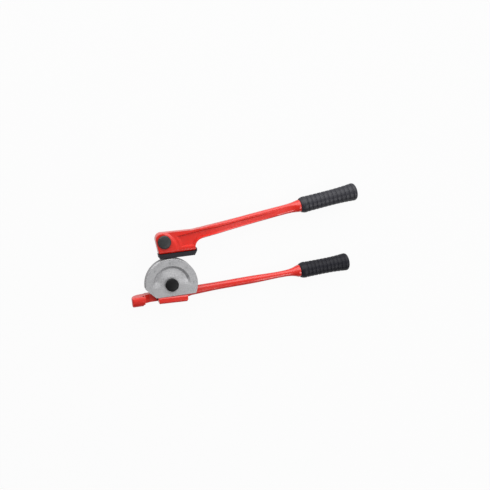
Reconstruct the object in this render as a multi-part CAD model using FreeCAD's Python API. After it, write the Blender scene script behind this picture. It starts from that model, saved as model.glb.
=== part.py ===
import FreeCAD, Part
import math
import os
from FreeCAD import Placement, Rotation, Vector

# Two-handled tube bender, lying on its back with the pivots along +Z and the fixed handle along +X.
# The origin is on the forming wheel's axis, in the plane that the tool rests on.
# Sizes are in millimetres and degrees.

# Tube and bend
tube_diameter = 15.0
bend_radius = 56.0
tube_play = 0.1

# Forming wheel
flange_wall = 4.4
rim_chamfer = 0.9
wheel_flat_drop = 24.6
wheel_tangent = 3.4
wheel_flat_left = 35.4
recess_rim = 15.4
recess_depth = 4.6
recess_wall_run = 5.6
recess_end_angle = 9.0
recess_ramp_angle = 32.0
hub_pad_radius = 17.5

# Pivot stack, from the rest plane upwards
plate_thickness = 12.0
thrust_washer_thickness = 1.0
thrust_washer_set_back = 1.0
link_thickness = 6.0
running_gap = 0.1
running_fit = 0.05
seat_fit = 0.1
round_head_radius = 14.0
round_head_height = 6.0
round_head_chamfer = 1.6
round_head_dome = 1.0

# Centre bolt, its bush and its nut
bolt_radius = 6.0
bush_wall = 3.0
bearing_wall = 2.5
eye_wall = 4.5
link_width = 18.0
link_fillet = 14.0
link_room = 2.0
nut_width = 18.0
nut_height = 6.5
nut_face_set_back = 0.2
nut_washer_thickness = 1.4
nut_washer_radius = 12.0
nut_pocket_radius = 13.0
nut_sink = 0.8
thread_projection = 0.6

# Lever pin
pin_radius = 8.0
pin_bearing_wall = 2.0
pin_eye_wall = 4.2
pin_washer_radius = 11.5
ring_thickness = 1.3
ring_groove_depth = 0.9
ring_radial_width = 3.4
ring_gap_angle = 70.0
pin_end = 2.2
pin_end_chamfer = 1.0

# Shoe
shoe_lip_gap = 1.5
shoe_floor = 3.4
shoe_toe = 55.0
shoe_toe_slant = 4.0
shoe_edge_chamfer = 0.8
heel_clearance = 0.5
heel_overhang = 1.0
toe_lip_thickness = 2.4
toe_lip_height = 5.5
screw_radius = 2.0
screw_head_radius = 3.9
screw_head_height = 2.1
screw_sink = 0.4
screw_depth = 14.0
screw_places = (10.0, 43.0)

# Lever head
pin_above_seat = 26.0
pin_offset = 7.4
lever_angle = 7.7
lever_axis_drop = 1.8
head_side = 13.0
head_top_rise = 19.4
head_top_slope = -0.9
head_corner_radius = 13.5
head_toe_height = 5.8
head_toe_set_back = 0.7
head_edge_radius = 2.4
head_lower_radius = 6.4
pin_pad_radius = 15.6
pin_pad_run = 2.4
boss_edge_back = 19.5
boss_edge_drop = 23.2
boss_edge_radius = 44.8
boss_edge_run = 5.4
shoulder_step = 2.4
pocket_edge_back = 36.7
pocket_edge_drop = 26.1
pocket_edge_radius = 72.2
pocket_edge_run = 5.4
pocket_step = 6.4
pocket_draft = 0.7
pocket_wall = 2.6
pocket_top_wall = 4.0
pocket_seat_wall = 11.0
web_edge_radius = 1.6

# Lever bar
lever_bar_height = 22.4
lever_bar_waist = 20.2
lever_bar_thickness = 15.0
lever_bar_corner = 4.8
lever_bar_start = 66.0
lever_bar_neck = 90.0
lever_bar_slim = 175.0
lever_grip_start = 314.0
lever_channel_depth = 2.2
lever_channel_draft = 1.0
lever_channel_top_wall = 6.6
lever_channel_low_wall = 1.0
lever_channel_start = 68.0
lever_channel_rise = 80.0
lever_channel_settle = 140.0
lever_channel_fade = 0.6
lever_channel_end = 12.0

# Fixed handle
fixed_angle = 3.05
fixed_axis_drop = 29.4
fixed_bar_height = 19.8
fixed_bar_waist = 14.4
fixed_bar_thickness = 16.5
fixed_bar_start = 22.0
fixed_bar_roundness = 0.45
fixed_bar_lift = 1.0
fixed_grip_start = 294.0
hub_plate_radius = 27.0
web_top_drop = 8.0
web_reach = 12.0
web_shoulder_share = 0.8
neck_height = 17.6
hook_top_drop = 19.2
hook_height = 20.9
hook_reach = 22.9
hook_thickness = 8.0
hook_mouth = 1.6
hook_back_rise = 6.0
hook_corner_radius = 20.0
hook_tip_radius = 5.0
hook_edge_radius = 4.0
hook_crown_radius = 17.0
hook_crown_drop = 7.3
neck_clearance = 0.3
neck_ramp = 8.0
neck_overlap = 4.0
ledge_left = 29.4
ledge_right = 31.8
ledge_height = 14.8
ledge_slope = 1.9
ledge_bevel = 3.0
ledge_bevel_depth = 1.8
ledge_slant = 2.4
ledge_corner_radius = 3.0
ledge_round = 5.4

# Handle ends and grips
flare_radius = 13.4
flare_length = 34.0
flare_step = 4.0
flare_roundness = 0.98
tang_radius = 11.0
tang_chamfer = 1.5
tang_share = 0.82
lever_grip_length = 137.0
fixed_grip_length = 118.5
grip_mouth_radius = 14.4
grip_mouth_lip = 2.0
grip_mouth_rise = 1.6
grip_collar_radius = 18.0
grip_collar_length = 15.0
grip_collar_brow = 6.0
grip_collar_drop = 0.6
grip_collar_ease = 3.0
grip_waist_radius = 17.4
grip_end_radius = 19.7
grip_cap_length = 14.0
grip_bore_room = 1.0
grip_cap_dome = 2.0
grip_cap_corner = 6.0
grip_rib_pitch = 9.4
grip_rib_drop = 0.3
grip_groove_width = 2.6
grip_groove_depth = 1.1

# Places worked out from the sizes above
groove_radius = tube_diameter / 2 + tube_play
wheel_thickness = 2 * (groove_radius + flange_wall)
half_wheel = wheel_thickness / 2
rear_washer_low = plate_thickness
link_low = rear_washer_low + thrust_washer_thickness + running_gap
link_high = link_low + link_thickness
front_washer_low = link_high + running_gap
wheel_low = front_washer_low + thrust_washer_thickness
wheel_high = wheel_low + wheel_thickness
groove_level = wheel_low + half_wheel
recess_radius = bend_radius - recess_rim
bush_radius = bolt_radius + bush_wall
bearing_radius = bush_radius + bearing_wall
seat_line = bend_radius + groove_radius + shoe_floor
lip_line = bend_radius + shoe_lip_gap
pin_centre = Vector(-pin_offset, seat_line + pin_above_seat, 0)
link_length = pin_centre.Length
link_angle = math.degrees(math.atan2(pin_centre.y, pin_centre.x))
grip_level = max(grip_end_radius, grip_collar_radius)
far = 400.0
overlap = 1.5
fine_overlap = 0.05


def cylinder(radius, low, high, centre=Vector(0, 0, 0)):
    """An upright cylinder between two levels."""
    return Part.makeCylinder(radius, high - low, Vector(centre.x, centre.y, low))


def ring(outer, inner, low, high, centre=Vector(0, 0, 0)):
    """An upright ring between two levels."""
    return cylinder(outer, low, high, centre).cut(cylinder(inner, low - 1, high + 1, centre))


def prism(points, low, high):
    """A closed outline in plan, raised between two levels."""
    corners = [Vector(x, y, low) for x, y in points]
    face = Part.Face(Part.makePolygon(corners + corners[:1]))
    return face.extrude(Vector(0, 0, high - low))


def face_of(edges):
    """The flat face inside a loop of edges."""
    return Part.Face(Part.Wire(edges))


def line(a, b):
    """A straight edge."""
    return Part.LineSegment(a, b).toShape()


def arc(a, middle, b):
    """A circular edge through three points."""
    return Part.Arc(a, middle, b).toShape()


def dome(rim, peak, axis):
    """The arc from a rim point to a peak on the turning axis, its centre on that axis."""
    rise = (peak - rim).dot(axis)
    reach = ((peak - rim) - axis * rise).Length
    radius = (reach ** 2 + rise ** 2) / (2 * rise)
    centre = peak - axis * radius
    middle = centre + ((rim - centre) + (peak - centre)).normalize() * radius
    return arc(rim, middle, peak)


def same(a, b):
    """Whether two measures agree."""
    return abs(a - b) < 0.01


def polar(centre, radius, angle):
    """The point at an angle and distance from a centre, in plan."""
    turn = math.radians(angle)
    return centre + Vector(radius * math.cos(turn), radius * math.sin(turn), 0)


def edges_where(shape, test):
    """The edges whose middle point passes a test."""
    found = []
    for edge in shape.Edges:
        middle = edge.valueAt((edge.FirstParameter + edge.LastParameter) / 2)
        if test(middle, edge):
            found.append(edge)
    return found


def rounded_section(place, height, thickness, corner):
    """A rounded rectangle across a bar, standing at a place whose local X runs along the bar."""
    y, z = height / 2, thickness / 2
    reach = corner * (1 - math.sqrt(0.5))
    edges = []
    for sy, sz in ((1, 1), (-1, 1), (-1, -1), (1, -1)):
        side = Vector(0, sy * y, sz * (z - corner))
        middle = Vector(0, sy * (y - reach), sz * (z - reach))
        top = Vector(0, sy * (y - corner), sz * z)
        if sy == sz:
            start, end = side, top
        else:
            start, end = top, side
        edges.append((start, middle, end))
    loop = []
    for index, (start, middle, end) in enumerate(edges):
        loop.append(arc(start, middle, end))
        loop.append(line(end, edges[(index + 1) % 4][0]))
    wire = Part.Wire(loop)
    wire.Placement = place
    return wire


def along(origin, angle, distance, level):
    """The place at a distance along a handle's axis, with local X along the axis."""
    spot = polar(origin, distance, angle)
    return Placement(Vector(spot.x, spot.y, level), Rotation(Vector(0, 0, 1), angle))


def eased(share):
    """A smooth run from 0 to 1, level at both ends."""
    share = min(max(share, 0.0), 1.0)
    return share * share * (3 - 2 * share)


def bar(origin, angle, stations):
    """A handle's bar lofted through sections: distance, height, thickness, level and corner radius."""
    wires = []
    for distance, height, thickness, level, corner in stations:
        wires.append(rounded_section(along(origin, angle, distance, level), height, thickness, corner))
    return Part.makeLoft(wires, True, False, False, 3)


def tang(origin, angle, start, length):
    """The round end of a handle that the grip is pushed over."""
    place = along(origin, angle, start, grip_level)
    along_axis = place.Rotation.multVec(Vector(1, 0, 0))
    body = Part.makeCylinder(tang_radius, length, place.Base, along_axis)
    end = edges_where(body, lambda p, e: same((p - place.Base).dot(along_axis), length))
    return body.makeChamfer(tang_chamfer, end)


def flare_stations(start, height, thickness, level, corner):
    """The sections through which a bar swells into the round shoulder that the grip butts against."""
    first = start - flare_length
    stations = [(first, height, thickness, level, corner)]
    for share in (0.35, 0.7, 1.0):
        grown = share ** 2
        distance = first + share * (flare_length - flare_step)
        h = height + grown * (2 * flare_radius - height)
        t = thickness + grown * (2 * flare_radius - thickness)
        rounded = corner + grown * (flare_roundness * flare_radius - corner)
        rise = level + share * (grip_level - level)
        stations.append((distance, h, t, rise, rounded))
    return stations


def shoulder(origin, angle, start):
    """The short round collar at the end of a flare."""
    place = along(origin, angle, start - flare_step, grip_level)
    return Part.makeCylinder(flare_radius, flare_step, place.Base, place.Rotation.multVec(Vector(1, 0, 0)))


def wheel_section():
    """Half the wheel's section: flat faces, chamfered rim and the half-round tube groove."""
    low, high = wheel_low, wheel_high
    rim = bend_radius
    points = [
        Vector(0, 0, low),
        Vector(rim - rim_chamfer, 0, low),
        Vector(rim, 0, low + rim_chamfer),
        Vector(rim, 0, groove_level - groove_radius),
        Vector(rim - groove_radius, 0, groove_level),
        Vector(rim, 0, groove_level + groove_radius),
        Vector(rim, 0, high - rim_chamfer),
        Vector(rim - rim_chamfer, 0, high),
        Vector(0, 0, high),
    ]
    edges = [line(a, b) for a, b in zip(points[:3], points[1:4])]
    edges.append(arc(points[3], points[4], points[5]))
    edges += [line(a, b) for a, b in zip(points[5:8], points[6:9])]
    edges.append(line(points[8], points[0]))
    return face_of(edges)


def forming_wheel():
    """The half-round former: grooved rim, short straight lead at the hook's side, flat foot and marked face."""
    section = wheel_section()
    turned = section.revolve(Vector(0, 0, 0), Vector(0, 0, 1), 360)
    lead = section.copy()
    lead.rotate(Vector(0, 0, 0), Vector(0, 0, 1), 180)
    lead = lead.extrude(Vector(0, -far, 0))
    outline = prism(
        [
            (-bend_radius, far),
            (-bend_radius, -wheel_tangent),
            (-wheel_flat_left, -wheel_flat_drop),
            (far, -wheel_flat_drop),
            (far, far),
        ],
        0,
        far,
    )
    right_of_lead = prism([(0, -far), (far, -far), (far, far), (-far, far), (-far, 0), (0, 0)], 0, far)
    body = turned.common(right_of_lead).fuse(lead).removeSplitter()
    body = body.common(outline)
    body = body.cut(face_recess())
    return body.cut(cylinder(bolt_radius + seat_fit, 0, far)).removeSplitter()


def face_recess():
    """The trough in the wheel's face: coned up to the hub, sloping up outside, and fading out at the foot."""
    edge = wheel_high + fine_overlap
    above = wheel_high + overlap
    span = 180 + 2 * recess_end_angle
    wires = []
    steps = 30
    for step in range(steps + 1):
        angle = span * step / steps
        deep = eased(min(angle, span - angle) / recess_ramp_angle)
        corners = [
            Vector(hub_pad_radius, 0, edge),
            Vector(recess_radius - recess_wall_run, 0, edge - deep * (recess_depth + fine_overlap)),
            Vector(recess_radius, 0, edge),
            Vector(recess_radius, 0, above),
            Vector(hub_pad_radius, 0, above),
        ]
        wire = Part.makePolygon(corners + corners[:1])
        wire.rotate(Vector(0, 0, 0), Vector(0, 0, 1), angle - recess_end_angle)
        wires.append(wire)
    return Part.makeLoft(wires, True, False, False, 3)


def round_head(low, centre):
    """A large round pin head: straight side, chamfered rim and slightly domed top."""
    side = low + round_head_height - round_head_chamfer
    flat = round_head_radius - round_head_chamfer
    top = low + round_head_height
    points = [Vector(0, 0, low), Vector(round_head_radius, 0, low), Vector(round_head_radius, 0, side)]
    points.append(Vector(flat, 0, top))
    peak = Vector(0, 0, top + round_head_dome)
    edges = [line(a, b) for a, b in zip(points, points[1:])]
    edges.append(dome(points[-1], peak, Vector(0, 0, 1)))
    edges.append(line(peak, points[0]))
    head = face_of(edges).revolve(Vector(0, 0, 0), Vector(0, 0, 1), 360)
    head.translate(Vector(centre.x, centre.y, 0))
    return head


def centre_bolt():
    """The bolt through wheel, bush and fixed handle, with its head on the wheel's face."""
    end = nut_sink - thread_projection
    shank = cylinder(bolt_radius, end, wheel_high)
    tip = edges_where(shank, lambda p, e: same(p.z, end))
    shank = shank.makeChamfer(thread_projection, tip)
    return round_head(wheel_high, Vector(0, 0, 0)).fuse(shank)


def centre_bush():
    """The steel sleeve clamped between fixed handle and wheel, on which the link turns."""
    return ring(bush_radius, bolt_radius + seat_fit, plate_thickness, wheel_low)


def thrust_washer(low):
    """A thin washer beside the link's centre eye."""
    outer = bearing_radius + eye_wall - thrust_washer_set_back
    return ring(outer, bush_radius + seat_fit, low, low + thrust_washer_thickness)


def centre_nut():
    """The hexagon nut sunk in the fixed handle's back."""
    corner = nut_width / math.sqrt(3)
    points = []
    for step in range(6):
        turn = math.radians(60 * step + 30)
        points.append((corner * math.cos(turn), corner * math.sin(turn)))
    body = prism(points, nut_sink, nut_sink + nut_height)
    face_radius = nut_width / 2 - nut_face_set_back
    rounded = Part.makeCone(face_radius, face_radius + nut_width, nut_width, Vector(0, 0, nut_sink))
    return body.common(rounded).cut(cylinder(bolt_radius, 0, far))


def nut_washer():
    """The washer under the nut."""
    low = nut_sink + nut_height
    return ring(nut_washer_radius, bolt_radius + seat_fit, low, low + nut_washer_thickness)


def link_strap():
    """The flat steel link from the wheel's axis to the lever's pin: a parallel strap between two round eyes."""
    centre_eye = bearing_radius + eye_wall
    pin_eye = pin_radius + pin_eye_wall
    half = link_width / 2
    strap = Part.makeBox(link_length, link_width, link_thickness, Vector(0, -half, link_low))
    body = strap.fuse(cylinder(centre_eye, link_low, link_high))
    body = body.fuse(cylinder(pin_eye, link_low, link_high, Vector(link_length, 0, 0))).removeSplitter()
    inner = edges_where(body, lambda p, e: same(abs(p.y), half) and same(p.z, (link_low + link_high) / 2))
    body = body.makeFillet(link_fillet, inner)
    body.rotate(Vector(0, 0, 0), Vector(0, 0, 1), link_angle)
    body = body.cut(cylinder(bearing_radius, 0, far))
    return body.cut(cylinder(pin_radius + running_fit, 0, far, pin_centre))


def link_bearing():
    """The bronze bush in the link's centre eye."""
    return ring(bearing_radius, bush_radius + running_fit, link_low, link_high)


def lever_pin():
    """The pin that joins lever and link, with its head on the lever's face and a ring groove at its end."""
    ring_high = link_low - thrust_washer_thickness
    end = ring_high - ring_thickness - pin_end
    shank = cylinder(pin_radius, end, wheel_high + running_gap, pin_centre)
    tip = edges_where(shank, lambda p, e: same(p.z, end))
    shank = shank.makeChamfer(pin_end_chamfer, tip)
    neck = pin_radius - ring_groove_depth
    shank = shank.cut(ring(pin_radius + 1, neck, ring_high - ring_thickness, ring_high, pin_centre))
    return round_head(wheel_high + running_gap, pin_centre).fuse(shank)


def pin_washer():
    """The washer between the link's back and the retaining ring."""
    low = link_low - thrust_washer_thickness
    return ring(pin_washer_radius, pin_radius + seat_fit, low, link_low, pin_centre)


def lever_washer():
    """The washer between the link and the lever's head."""
    return ring(pin_washer_radius, pin_radius + seat_fit, link_high, wheel_low - running_gap, pin_centre)


def retaining_ring():
    """The open spring ring in the pin's groove."""
    high = link_low - thrust_washer_thickness
    low = high - ring_thickness
    inner = pin_radius - ring_groove_depth + seat_fit
    body = ring(inner + ring_radial_width, inner, low, high, pin_centre)
    reach = 2 * (inner + ring_radial_width)
    mouth = [pin_centre]
    for side in (-0.5, 0.5):
        mouth.append(polar(pin_centre, reach, link_angle + side * ring_gap_angle))
    return body.cut(prism([(p.x, p.y) for p in mouth], low - 1, high + 1))


def head_outline(inset):
    """The lever head's outline in plan, moved inwards by an inset that is less along the shoe."""
    lower = seat_line + min(inset, head_toe_height / 2)
    upper = pin_centre.y + head_top_rise - inset
    side_turn = math.radians(lever_angle)
    foot = Vector(-pin_offset - head_side + inset, lower, 0)
    rise = upper - lower
    corner = Vector(foot.x - rise * math.tan(side_turn), upper, 0)
    radius = head_corner_radius - inset
    top_run = Vector(math.cos(math.radians(head_top_slope)), math.sin(math.radians(head_top_slope)), 0)
    cut_back = radius * math.tan(math.radians(45 + (lever_angle - head_top_slope) / 2))
    side_end = corner + (foot - corner).normalize() * cut_back
    top_start = corner + top_run * cut_back
    out = Vector(math.cos(side_turn), math.sin(side_turn), 0)
    centre = side_end + out * radius
    middle = centre + (corner - centre).normalize() * radius
    toe_centre, toe_radius = toe_arc()
    toe_radius = toe_radius + inset
    toe_side = Vector(toe_centre.x - toe_radius, toe_centre.y, 0)
    bar_touch = polar(toe_centre, toe_radius, 90 + lever_angle)
    toe_middle = polar(toe_centre, toe_radius, 90 + lever_angle + (90 - lever_angle) / 2)
    normal = Vector(-math.sin(side_turn), math.cos(side_turn), 0)
    bar_top = bar_touch + normal * (lever_bar_height - 2 * inset)
    back = Vector(-math.cos(side_turn), -math.sin(side_turn), 0)
    across = back.x * top_run.y - back.y * top_run.x
    reach = ((corner.x - bar_top.x) * top_run.y - (corner.y - bar_top.y) * top_run.x) / across
    bend = bar_top + back * reach
    return [
        line(foot, side_end),
        arc(side_end, middle, top_start),
        line(top_start, bend),
        line(bend, bar_top),
        line(bar_top, bar_touch),
        arc(bar_touch, toe_middle, toe_side),
        line(toe_side, Vector(toe_side.x, lower, 0)),
        line(Vector(toe_side.x, lower, 0), foot),
    ]


def lever_origin():
    """The foot of the lever's axis below its pin."""
    return polar(pin_centre, lever_axis_drop, lever_angle - 90)


def toe_arc():
    """The hollow under the bar: its centre and radius, level with the toe and touching the bar's lower edge."""
    origin = lever_origin()
    lean = math.radians(lever_angle)
    side = shoe_toe + shoe_toe_slant - head_toe_set_back
    low_edge = polar(origin, lever_bar_height / 2, lever_angle - 90)
    level = seat_line + head_toe_height
    above_toe = low_edge.y + (side - low_edge.x) * math.tan(lean) - level
    radius = above_toe * math.cos(lean) / (1 - math.sin(lean))
    return Vector(side + radius, level, 0), radius


def lever_level(distance):
    """The level of the lever bar's middle: it drops gently from the head to the grip."""
    run = lever_grip_start - flare_length - lever_bar_start
    return groove_level + (grip_level - groove_level) * eased((distance - lever_bar_start) / run)


def lever_section(distance):
    """The lever bar's height, thickness, level and corner radius at a distance along it."""
    last = lever_grip_start - flare_length
    share = (distance - lever_bar_start) / (last - lever_bar_start)
    height = lever_bar_height + share * (lever_bar_waist - lever_bar_height)
    web = wheel_thickness - 2 * shoulder_step
    slim = eased((distance - lever_bar_neck) / (lever_bar_slim - lever_bar_neck))
    thickness = web + slim * (lever_bar_thickness - web)
    corner = web_edge_radius + slim * (lever_bar_corner - web_edge_radius)
    return height, thickness, lever_level(distance), corner


def lever_stations():
    """The lever bar's sections, from inside the head to the grip."""
    last = lever_grip_start - flare_length
    stations = []
    for first, end, count in ((lever_bar_start, lever_bar_slim, 6), (lever_bar_slim, last, 3)):
        for step in range(count):
            distance = first + (end - first) * step / count
            stations.append((distance,) + lever_section(distance))
    return stations + flare_stations(lever_grip_start, *lever_section(last))


def both_faces(tool):
    """A cut on the front face and its mirror image on the back face."""
    return [tool, tool.mirror(Vector(0, 0, groove_level), Vector(0, 0, 1))]


def lever_head():
    """The lever's head: full-height boss round the pin, and a web one step lower with rounded edges."""
    body = face_of(head_outline(0)).extrude(Vector(0, 0, wheel_thickness))
    body.translate(Vector(0, 0, wheel_low))
    seat_front = edges_where(body, lambda p, e: same(p.y, seat_line) and same(p.z, wheel_high))
    body = body.makeFillet(head_lower_radius, seat_front)
    left = pin_centre.x + head_corner_radius
    rounded_up_to = seat_line + head_lower_radius + overlap

    def outer(p, e):
        on_a_face = same(p.z, wheel_high) or same(p.z, wheel_low)
        return on_a_face and p.x < left and p.y > rounded_up_to

    body = body.makeFillet(head_edge_radius, edges_where(body, outer))
    for tool in both_faces(web_step()):
        body = body.cut(tool)
    return body


def slope_round(centre, radius, run, top, drop):
    """A wide cone whose side is a sloping edge: its radius at the top level, and its run over a drop."""
    above = shoulder_step + overlap
    base = Vector(centre.x, centre.y, top - drop)
    return Part.makeCone(radius + run, radius - above * run / drop, drop + above, base)


def web_step():
    """What is taken off the web above the shoe's strip, up to the sloping edges of the boss and the pin's pad."""
    low = wheel_high - shoulder_step
    strip = seat_line + head_lower_radius
    block = Part.makeBox(far, far, shoulder_step + overlap, Vector(pin_centre.x - far / 2, strip, low))
    boss_centre = pin_centre - Vector(boss_edge_back, boss_edge_drop, 0)
    boss = slope_round(boss_centre, boss_edge_radius, boss_edge_run, wheel_high, shoulder_step)
    pad = slope_round(pin_centre, pin_pad_radius, pin_pad_run, wheel_high, shoulder_step)
    return block.cut(boss).cut(pad)


def slope_wall(edge, side, run, mouth_run, floor, top):
    """All beyond a sloping wall along X: its line at the web's level, its side and its spread."""
    section = [
        Vector(-far, edge - side * run, floor),
        Vector(-far, edge + side * mouth_run, top),
        Vector(-far, edge + side * far, top),
        Vector(-far, edge + side * far, floor),
    ]
    return Part.Face(Part.makePolygon(section + section[:1])).extrude(Vector(2 * far, 0, 0))


def head_pocket():
    """The pocket in the head's web: sloping walls along the edges, and a wide curve beside the boss."""
    floor = wheel_high - pocket_step
    top = wheel_high + overlap
    web = wheel_high - shoulder_step
    run = pocket_draft * (web - floor)
    mouth_run = pocket_draft * (top - web)
    wires = []
    for level, inset in ((floor, pocket_wall + run), (top, pocket_wall - mouth_run)):
        wire = Part.Wire(head_outline(inset))
        wire.translate(Vector(0, 0, level))
        wires.append(wire)
    body = Part.makeLoft(wires, True, True)
    curve_centre = pin_centre - Vector(pocket_edge_back, pocket_edge_drop, 0)
    body = body.cut(slope_round(curve_centre, pocket_edge_radius, pocket_edge_run, web, web - floor))
    origin = lever_origin()
    upper = slope_wall(origin.y + lever_bar_height / 2 - pocket_top_wall, 1, run, mouth_run, floor, top)
    upper.rotate(origin, Vector(0, 0, 1), lever_angle)
    lower = slope_wall(seat_line + pocket_seat_wall, -1, run, mouth_run, floor, top)
    return body.cut(upper).cut(lower)


def lever_channel(side):
    """The channel that carries the head's pocket on along one face of the bar and runs out before the grip."""
    last = lever_grip_start - flare_length - lever_channel_end
    start_floor = wheel_thickness / 2 - pocket_step
    start_run = pocket_draft * (pocket_step - shoulder_step)
    start_walls = (pocket_top_wall + start_run, pocket_wall + start_run)
    settled_run = lever_channel_draft * lever_channel_depth
    settled_walls = (lever_channel_top_wall + settled_run, lever_channel_low_wall + settled_run)
    wires = []
    steps = 10
    for step in range(steps + 1):
        share = step / steps
        distance = lever_channel_start + share * (last - lever_channel_start)
        height, thickness, level, corner = lever_section(distance)
        face = thickness / 2
        settled = eased((distance - lever_channel_rise) / (lever_channel_settle - lever_channel_rise))
        out = eased((share - lever_channel_fade) / (1 - lever_channel_fade))
        depth = lever_channel_depth * (1 - out) - fine_overlap * out
        floor = start_floor + settled * (face - depth - start_floor)
        high = height / 2 - start_walls[0] - settled * (settled_walls[0] - start_walls[0])
        low = height / 2 - start_walls[1] - settled * (settled_walls[1] - start_walls[1])
        draft = pocket_draft + settled * (lever_channel_draft - pocket_draft)
        wide = draft * (face + overlap - floor)
        corners = [
            Vector(0, -low, side * floor),
            Vector(0, high, side * floor),
            Vector(0, high + wide, side * (face + overlap)),
            Vector(0, -low - wide, side * (face + overlap)),
        ]
        wire = Part.makePolygon(corners + corners[:1])
        wire.Placement = along(lever_origin(), lever_angle, distance, level)
        wires.append(wire)
    return Part.makeLoft(wires, True, False, False, 3)


def lever_handle():
    """The operating lever: one casting of head, bar, flare and tang."""
    origin = lever_origin()
    body = lever_head().fuse(bar(origin, lever_angle, lever_stations()))
    for tool in both_faces(head_pocket()):
        body = body.cut(tool)
    body = body.cut(lever_channel(1)).cut(lever_channel(-1))
    body = body.fuse(shoulder(origin, lever_angle, lever_grip_start))
    length = lever_grip_length * tang_share
    body = body.fuse(tang(origin, lever_angle, lever_grip_start, length))
    bore = pin_radius + pin_bearing_wall
    body = body.cut(cylinder(bore, 0, far, pin_centre))
    for place in screw_places:
        body = body.cut(screw_shank(place, screw_radius + running_fit, screw_depth + overlap))
    return body.removeSplitter()


def lever_bearing():
    """The bronze bush in the lever's head."""
    return ring(pin_radius + pin_bearing_wall, pin_radius + running_fit, wheel_low, wheel_high, pin_centre)


def screw_shank(place, radius, depth):
    """The straight part of a shoe screw, from the shoe's groove up into the head."""
    base = Vector(place, bend_radius, groove_level)
    return Part.makeCylinder(radius, groove_radius + shoe_floor + depth, base, Vector(0, 1, 0))


def screw_cone(place, radius):
    """The cone of a countersunk head, opening towards the groove."""
    base = Vector(place, bend_radius + groove_radius + screw_sink, groove_level)
    return Part.makeCone(radius, screw_radius, screw_head_height, base, Vector(0, 1, 0))


def shoe_screws():
    """The two countersunk screws that hold the shoe, sunk below the groove."""
    floor = bend_radius + groove_radius + screw_sink
    above = Part.makeBox(far, far, far, Vector(-far / 2, floor, groove_level - far / 2))
    solids = []
    for place in screw_places:
        shank = screw_shank(place, screw_radius, screw_depth)
        solids.append(screw_cone(place, screw_head_radius).fuse(shank.common(above)).removeSplitter())
    return Part.makeCompound(solids)


def slide_shoe():
    """The grooved shoe under the lever's head: its heel clears the wheel, and a lip stands over the head's toe."""
    toe_centre, toe_radius = toe_arc()
    lip_x = toe_centre.x - toe_radius + seat_fit
    heel_top = -pin_offset - head_side - heel_overhang
    heel = heel_top + (seat_line - lip_line) * math.tan(math.radians(lever_angle))
    outline = [
        (heel, lip_line),
        (shoe_toe, lip_line),
        (lip_x + toe_lip_thickness, seat_line),
        (lip_x + toe_lip_thickness, seat_line + toe_lip_height),
        (lip_x, seat_line + toe_lip_height),
        (lip_x, seat_line),
        (heel_top, seat_line),
    ]
    body = prism(outline, wheel_low, wheel_high)
    lips = edges_where(body, lambda p, e: same(p.y, lip_line) and not wheel_low + 1 < p.z < wheel_high - 1)
    body = body.makeChamfer(shoe_edge_chamfer, lips)
    sweep = link_length - bend_radius - heel_clearance
    below = Part.makeBox(far, far, far, Vector(pin_centre.x - far, seat_line - far, 0))
    body = body.cut(below.cut(cylinder(sweep, 0, far, pin_centre)))
    groove = Part.makeCylinder(groove_radius, 2 * far, Vector(-far, bend_radius, groove_level), Vector(1, 0, 0))
    body = body.cut(groove)
    wide = screw_head_radius + running_fit
    for place in screw_places:
        base = Vector(place, bend_radius, groove_level)
        body = body.cut(Part.makeCylinder(wide, groove_radius + screw_sink, base, Vector(0, 1, 0)))
        body = body.cut(screw_cone(place, wide))
        body = body.cut(screw_shank(place, screw_radius + running_fit, screw_depth))
    return body.removeSplitter()


def fixed_origin():
    """The point below the pivot where the fixed handle's axis crosses the wheel's square line."""
    return Vector(0, -fixed_axis_drop, 0)


def fixed_level(distance):
    """The level of the fixed bar's middle: it rises gently from the plate to the grip."""
    low = fixed_bar_thickness / 2 + fixed_bar_lift
    run = fixed_grip_start - flare_length - bend_radius
    return low + (grip_level - low) * eased((distance - bend_radius) / run)


def fixed_stations():
    """The fixed bar's sections, from behind the wheel to the grip."""
    last = fixed_grip_start - flare_length
    stations = []
    for share in (0.0, 0.2, 0.5, 0.8):
        distance = fixed_bar_start + share * (last - fixed_bar_start)
        height = fixed_bar_height + share * (fixed_bar_waist - fixed_bar_height)
        thickness = fixed_bar_thickness + share * (fixed_bar_waist - fixed_bar_thickness)
        corner = fixed_bar_roundness * min(height, thickness)
        stations.append((distance, height, thickness, fixed_level(distance), corner))
    waist = fixed_bar_waist
    corner = fixed_bar_roundness * waist
    return stations + flare_stations(fixed_grip_start, waist, waist, fixed_level(last), corner)


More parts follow.
